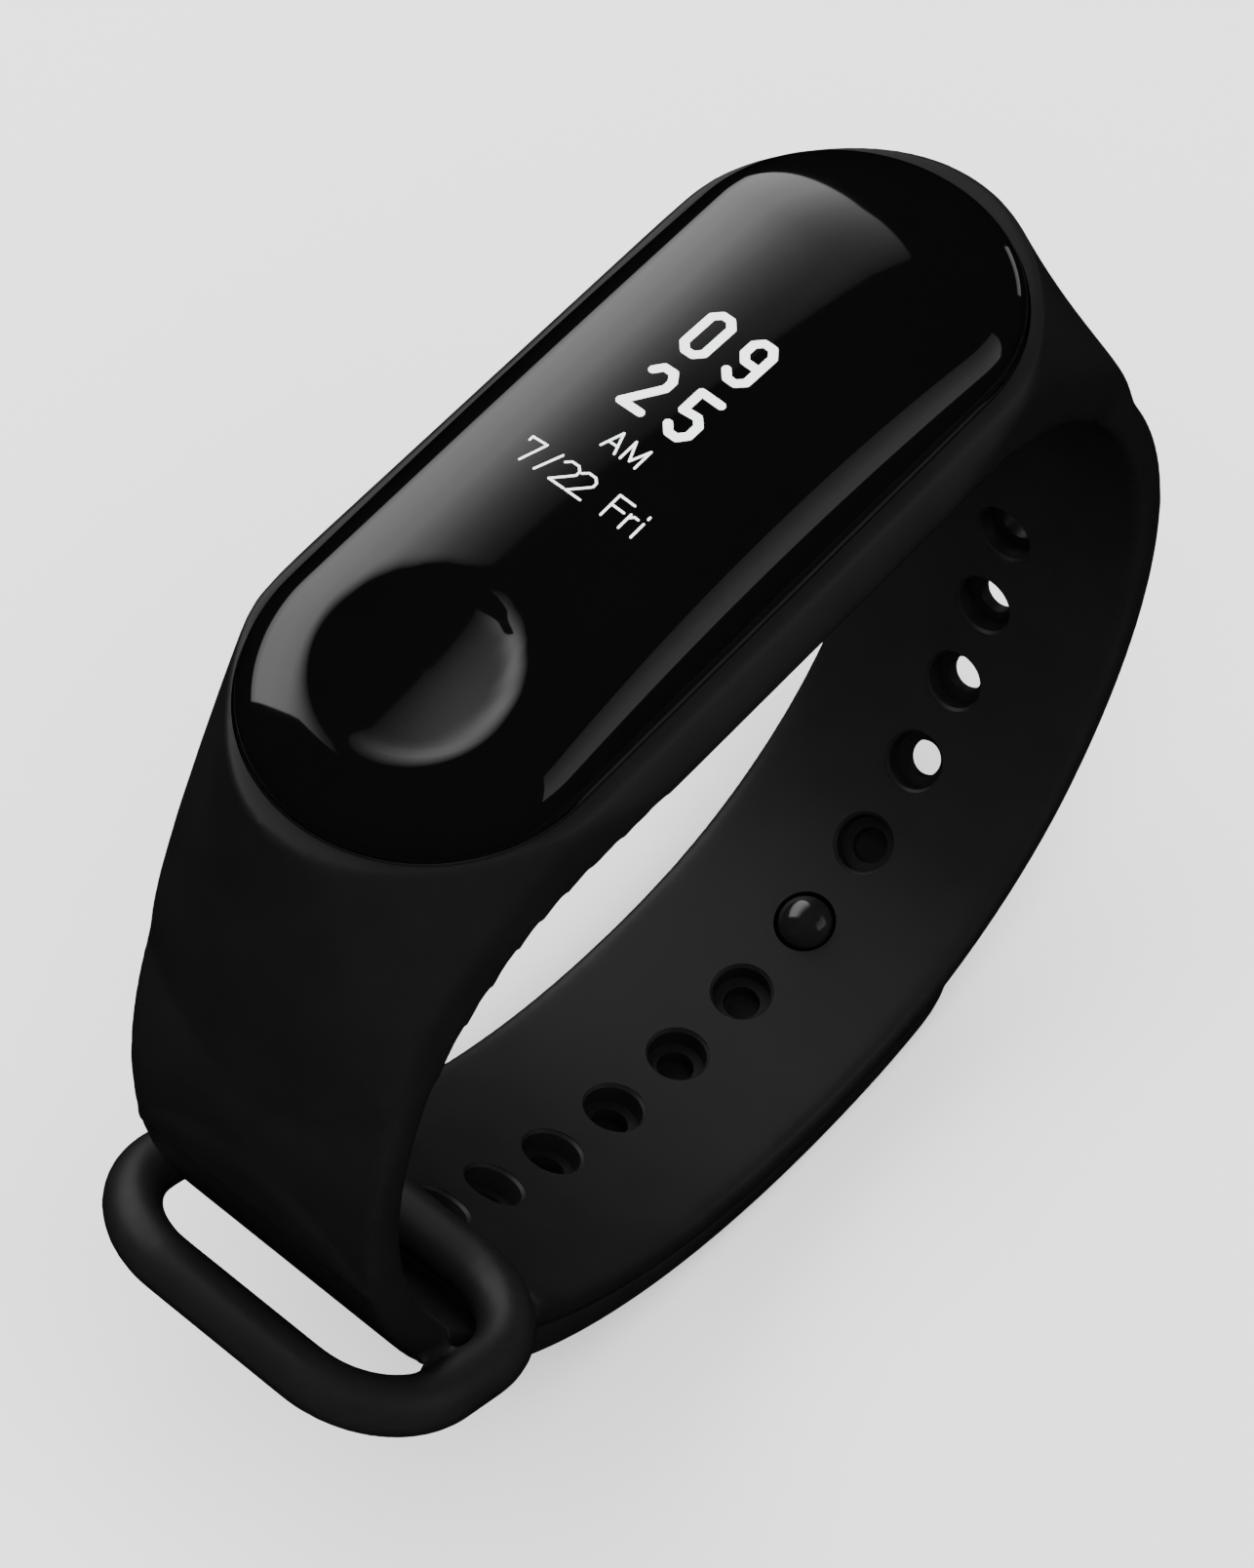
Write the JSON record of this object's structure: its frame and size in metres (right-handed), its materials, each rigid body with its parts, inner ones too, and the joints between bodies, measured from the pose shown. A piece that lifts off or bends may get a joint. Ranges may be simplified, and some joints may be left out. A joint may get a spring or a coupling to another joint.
{
  "type": "fitness tracker band",
  "caption": "Fitness tracker band: a glossy pebble-shaped capsule with a display and a touch dish, held in a perforated silicone strap with a keeper loop and a snap stud.",
  "frame": {"origin": "centre of the footprint at the lowest point of the closed band", "axes": "+Z the way the display faces, X round the wrist along the capsule with +X towards the end away from the touch dish, Y along the wrist"},
  "size_m": [0.0654, 0.023, 0.0672],
  "materials": {
    "silicone": "matt black moulded silicone",
    "stud_metal": "satin black coated stud",
    "gloss_cover": "polished black hard-coated plastic",
    "shell_plastic": "fine satin black plastic",
    "display_panel": "black display panel",
    "sensor_glass": "dark clear window",
    "seal_foam": "dark foam adhesive",
    "flex_film": "amber polyimide film",
    "gold_contact": "gold plated",
    "battery_foil": "laminated foil",
    "circuit_board": "green solder mask",
    "chip_resin": "black moulding resin",
    "bright_steel": "tinned steel",
    "tungsten": "sintered tungsten weight",
    "led_lens": "clear green resin"
  },
  "bodies": {
    "band": {"band_cradle": "silicone", "front_strap": "silicone", "perforated_strap": "silicone", "keeper_loop": "silicone"},
    "clasp_tail": {"tail_tab": "silicone", "clasp_stud": "stud_metal", "stud_cap": "stud_metal"},
    "tracker": {"top_cover": "gloss_cover", "bottom_shell": "shell_plastic", "seal_ring": "seal_foam", "carrier_frame": "shell_plastic", "display_module": "display_panel", "display_flex": "flex_film", "touch_electrode": "gold_contact", "battery_cell": "battery_foil", "battery_pad": "seal_foam", "main_board": "circuit_board", "processor_chip": "chip_resin", "memory_chip": "chip_resin", "motion_sensor": "chip_resin", "shield_can": "bright_steel", "antenna_strip": "gold_contact", "motor_case": "bright_steel", "motor_shaft": "bright_steel", "sensor_board": "circuit_board", "photodiode": "chip_resin", "light_barrier": "shell_plastic", "sensor_window": "sensor_glass", "green_led_1": "led_lens", "green_led_2": "led_lens", "charge_contact_1": "gold_contact", "charge_contact_2": "gold_contact", "contact_post_1": "gold_contact", "contact_post_2": "gold_contact"},
    "rotor": {"motor_rotor": "tungsten"}
  },
  "joints": [
    {"name": "tracker_lift", "type": "slide", "parent": "band", "child": "tracker", "axis": [0, 0, 1], "range_m": [0, 0.014]},
    {"name": "clasp_peel", "type": "hinge", "parent": "band", "child": "clasp_tail", "pos_m": [0.0029, 0, 0.00159], "axis": [0, 1, 0], "range_deg": [0, 40]},
    {"name": "motor_spin", "type": "hinge", "parent": "tracker", "child": "rotor", "pos_m": [-0.01671, 0, 0.06294], "axis": [0, 0, 1], "continuous": true}
  ]
}
